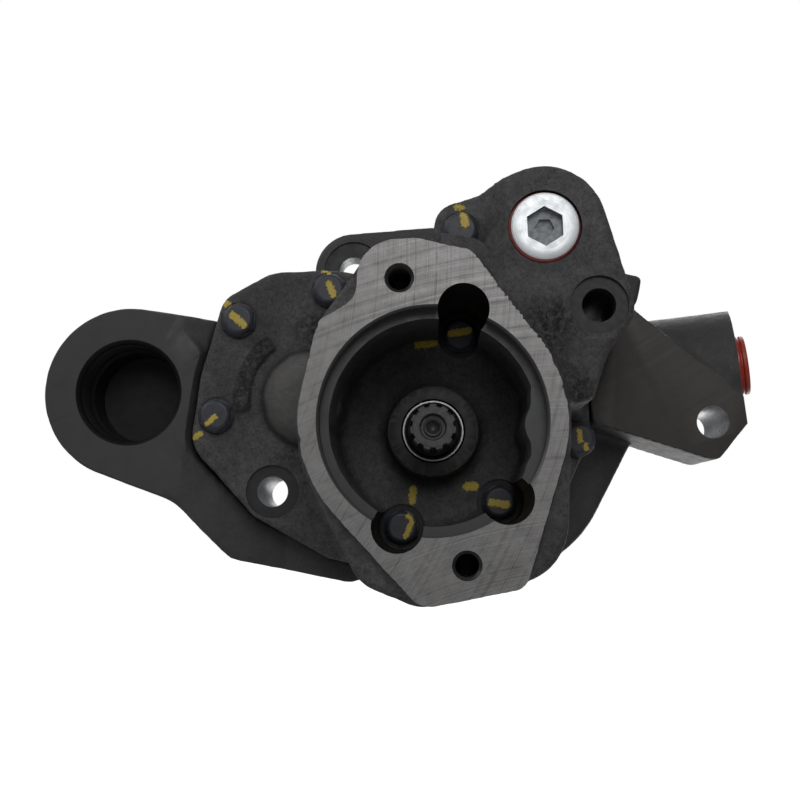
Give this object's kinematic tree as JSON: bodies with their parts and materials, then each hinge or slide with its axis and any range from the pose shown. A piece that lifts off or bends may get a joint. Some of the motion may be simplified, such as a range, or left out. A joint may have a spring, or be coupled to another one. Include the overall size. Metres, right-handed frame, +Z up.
{
  "type": "hydraulic gear pump",
  "caption": "Cast iron external gear pump with a splined auxiliary drive pad in front, a side suction port, an arm with the pressure port and a rear drive shaft.",
  "frame": {"origin": "on the drive shaft's axis in the plane of the rear mounting face", "axes": "+X right and +Z up seen from the front drive pad, +Y from the front pad towards the gearcase that carries the pump"},
  "size_m": [0.3008, 0.167, 0.1642],
  "materials": {
    "cover_iron": "rough",
    "body_iron": "satin",
    "gear_steel": "ground",
    "bearing_bronze": "satin",
    "seal_rubber": "matte",
    "seal_case_steel": "satin",
    "screw_steel": "black oxide",
    "plug_zinc": "zinc plated",
    "o_ring_red": "matte",
    "cap_plastic": "moulded"
  },
  "bodies": {
    "housing": {"front_cover": "cover_iron", "pump_body": "body_iron", "dowel_pin_1": "gear_steel", "dowel_pin_2": "gear_steel", "front_drive_bush": "bearing_bronze", "rear_drive_bush": "bearing_bronze", "front_idler_bush": "bearing_bronze", "rear_idler_bush": "bearing_bronze", "front_wear_plate": "bearing_bronze", "rear_wear_plate": "bearing_bronze", "front_plate_seal": "seal_rubber", "rear_plate_seal": "seal_rubber", "cover_joint_seal": "seal_rubber", "outlet_bore_seal": "seal_rubber", "front_shaft_seal": "seal_case_steel", "rear_shaft_seal": "seal_case_steel", "rear_seal_circlip": "seal_case_steel", "cover_screw_1": "screw_steel", "cover_screw_2": "screw_steel", "cover_screw_3": "screw_steel", "cover_screw_4": "screw_steel", "cover_screw_5": "screw_steel", "cover_screw_6": "screw_steel", "cover_screw_7": "screw_steel", "cover_screw_8": "screw_steel", "outlet_plug": "plug_zinc", "outlet_plug_o_ring": "o_ring_red"},
    "drive_gear": {"drive_gear_shaft": "gear_steel"},
    "idler_gear": {"idler_gear_shaft": "gear_steel"},
    "port_cap": {"pressure_port_cap": "cap_plastic"}
  },
  "joints": [
    {"name": "drive_spin", "type": "hinge", "parent": "housing", "child": "drive_gear", "pos_m": [0, -0.0166, 0], "axis": [0, 1, 0], "continuous": true},
    {"name": "idler_spin", "type": "hinge", "parent": "housing", "child": "idler_gear", "pos_m": [-0.0505, -0.0166, 0.0145], "axis": [0, 1, 0], "continuous": true},
    {"name": "port_cap_pull", "type": "slide", "parent": "housing", "child": "port_cap", "axis": [0.979, -0.169, 0.114], "range_m": [0, 0.025]}
  ],
  "couplings": [
    {"joint": "idler_spin", "follows": "drive_spin", "ratio": -1}
  ]
}
